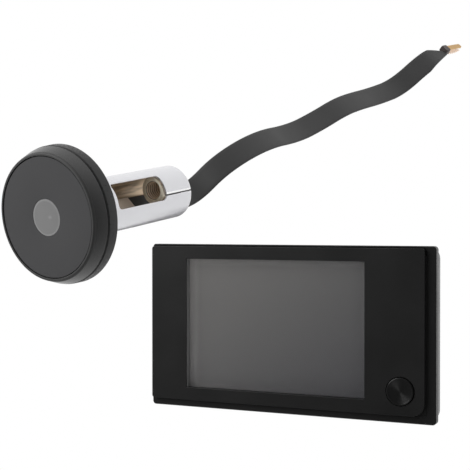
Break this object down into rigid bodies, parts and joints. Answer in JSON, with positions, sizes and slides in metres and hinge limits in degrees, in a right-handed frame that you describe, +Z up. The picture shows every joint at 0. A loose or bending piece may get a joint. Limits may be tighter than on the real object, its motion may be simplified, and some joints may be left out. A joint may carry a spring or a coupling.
{
  "type": "peephole door camera",
  "caption": "Peephole door camera: indoor monitor with a display and a push button on a hook bracket, and a round outdoor camera on a slotted barrel with a flat cable.",
  "frame": {"origin": "centre of the wall bracket's rear face, where it lies on the inside of the door", "axes": "+Y into the door, +X to the right and +Z up for a viewer who stands before the monitor"},
  "size_m": [0.133, 0.2003, 0.1351],
  "materials": {
    "front_frame": "fine satin moulding",
    "display_panel": "fine satin moulding",
    "display_window": "clear flat pane",
    "lcd_gasket": "black foam",
    "lcd_panel": "switched-off display, soft grey",
    "lcd_backlight": "pressed steel tray",
    "lcd_flex": "amber film",
    "view_button": "spun in fine circles",
    "tact_switch": "moulded",
    "switch_plunger": "moulded",
    "rear_case": "fine spark texture",
    "case_screws": "blackened",
    "battery_cover": "fine spark texture",
    "aaa_cells": "plain printed sleeve",
    "battery_contacts": "nickel plated",
    "battery_springs": "nickel plated",
    "main_board": "green solder mask",
    "board_screws": "zinc plated",
    "board_chips": "moulded",
    "ribbon_socket": "moulded",
    "wall_bracket": "zinc-plated pressed steel",
    "front_ring": "black satin over turned metal",
    "back_ring": "black satin over turned metal",
    "head_screws": "zinc plated",
    "faceplate": "fine matt",
    "lens_window": "smoked, polished",
    "lens_barrel": "black anodised",
    "lens_elements": "coated",
    "sensor_holder": "moulded",
    "image_sensor": "cover glass",
    "camera_board": "green solder mask",
    "camera_socket": "moulded",
    "door_gasket": "foam",
    "barrel": "polished plating",
    "threaded_insert": "nickel-tinted, turned",
    "ribbon_inside": "dark film",
    "ribbon_cable": "dark film",
    "ribbon_plug": "moulded",
    "ribbon_contacts": "gold plated",
    "ribbon_stiffener": "pale polyimide"
  },
  "bodies": {
    "root": {"wall_bracket": "wall_bracket", "front_ring": "front_ring", "back_ring": "back_ring", "head_screws": "head_screws", "faceplate": "faceplate", "lens_window": "lens_window", "lens_barrel": "lens_barrel", "lens_elements": "lens_elements", "sensor_holder": "sensor_holder", "image_sensor": "image_sensor", "camera_board": "camera_board", "camera_socket": "camera_socket", "door_gasket": "door_gasket", "barrel": "barrel", "threaded_insert": "threaded_insert", "ribbon_inside": "ribbon_inside", "ribbon_cable": "ribbon_cable", "ribbon_plug": "ribbon_plug", "ribbon_contacts": "ribbon_contacts", "ribbon_stiffener": "ribbon_stiffener"},
    "monitor": {"front_frame": "front_frame", "display_panel": "display_panel", "display_window": "display_window", "lcd_gasket": "lcd_gasket", "lcd_panel": "lcd_panel", "lcd_backlight": "lcd_backlight", "lcd_flex": "lcd_flex", "tact_switch": "tact_switch", "rear_case": "rear_case", "case_screws": "case_screws", "aaa_cells": "aaa_cells", "battery_contacts": "battery_contacts", "battery_springs": "battery_springs", "main_board": "main_board", "board_screws": "board_screws", "board_chips": "board_chips", "ribbon_socket": "ribbon_socket"},
    "view_button": {"view_button": "view_button", "switch_plunger": "switch_plunger"},
    "battery_cover": {"battery_cover": "battery_cover"}
  },
  "joints": [
    {"name": "monitor_lift", "type": "slide", "parent": "root", "child": "monitor", "axis": [0, 0, 1], "range_m": [0, 0.003]},
    {"name": "view_button_press", "type": "slide", "parent": "monitor", "child": "view_button", "axis": [0, 1, 0], "range_m": [0, 0.0006], "stiffness_N_per_m": 900, "springref_m": -0.0006},
    {"name": "battery_cover_slide", "type": "slide", "parent": "monitor", "child": "battery_cover", "axis": [-1, 0, 0], "range_m": [0, 0.012]}
  ]
}
